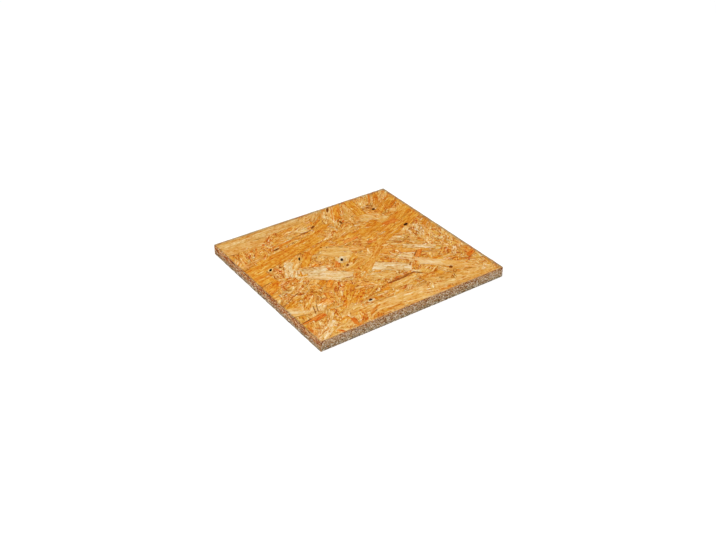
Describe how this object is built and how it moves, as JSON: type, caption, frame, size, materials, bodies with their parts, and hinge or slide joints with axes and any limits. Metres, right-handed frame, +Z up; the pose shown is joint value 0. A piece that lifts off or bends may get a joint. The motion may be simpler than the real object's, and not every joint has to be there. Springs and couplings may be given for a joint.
{
  "type": "oriented strand board panel",
  "caption": "Square-sawn piece of oriented strand board with pressed wood strands on both faces and open sawn edges.",
  "frame": {"origin": "centre of the underside, on the surface that the panel lies on", "axes": "+X along the longer side, +Y along the shorter side, +Z up through the thickness, out of the top face"},
  "size_m": [0.28, 0.262, 0.015],
  "materials": {
    "strand_wood": "satin"
  },
  "bodies": {
    "root": {"osb_panel": "strand_wood"}
  },
  "joints": []
}
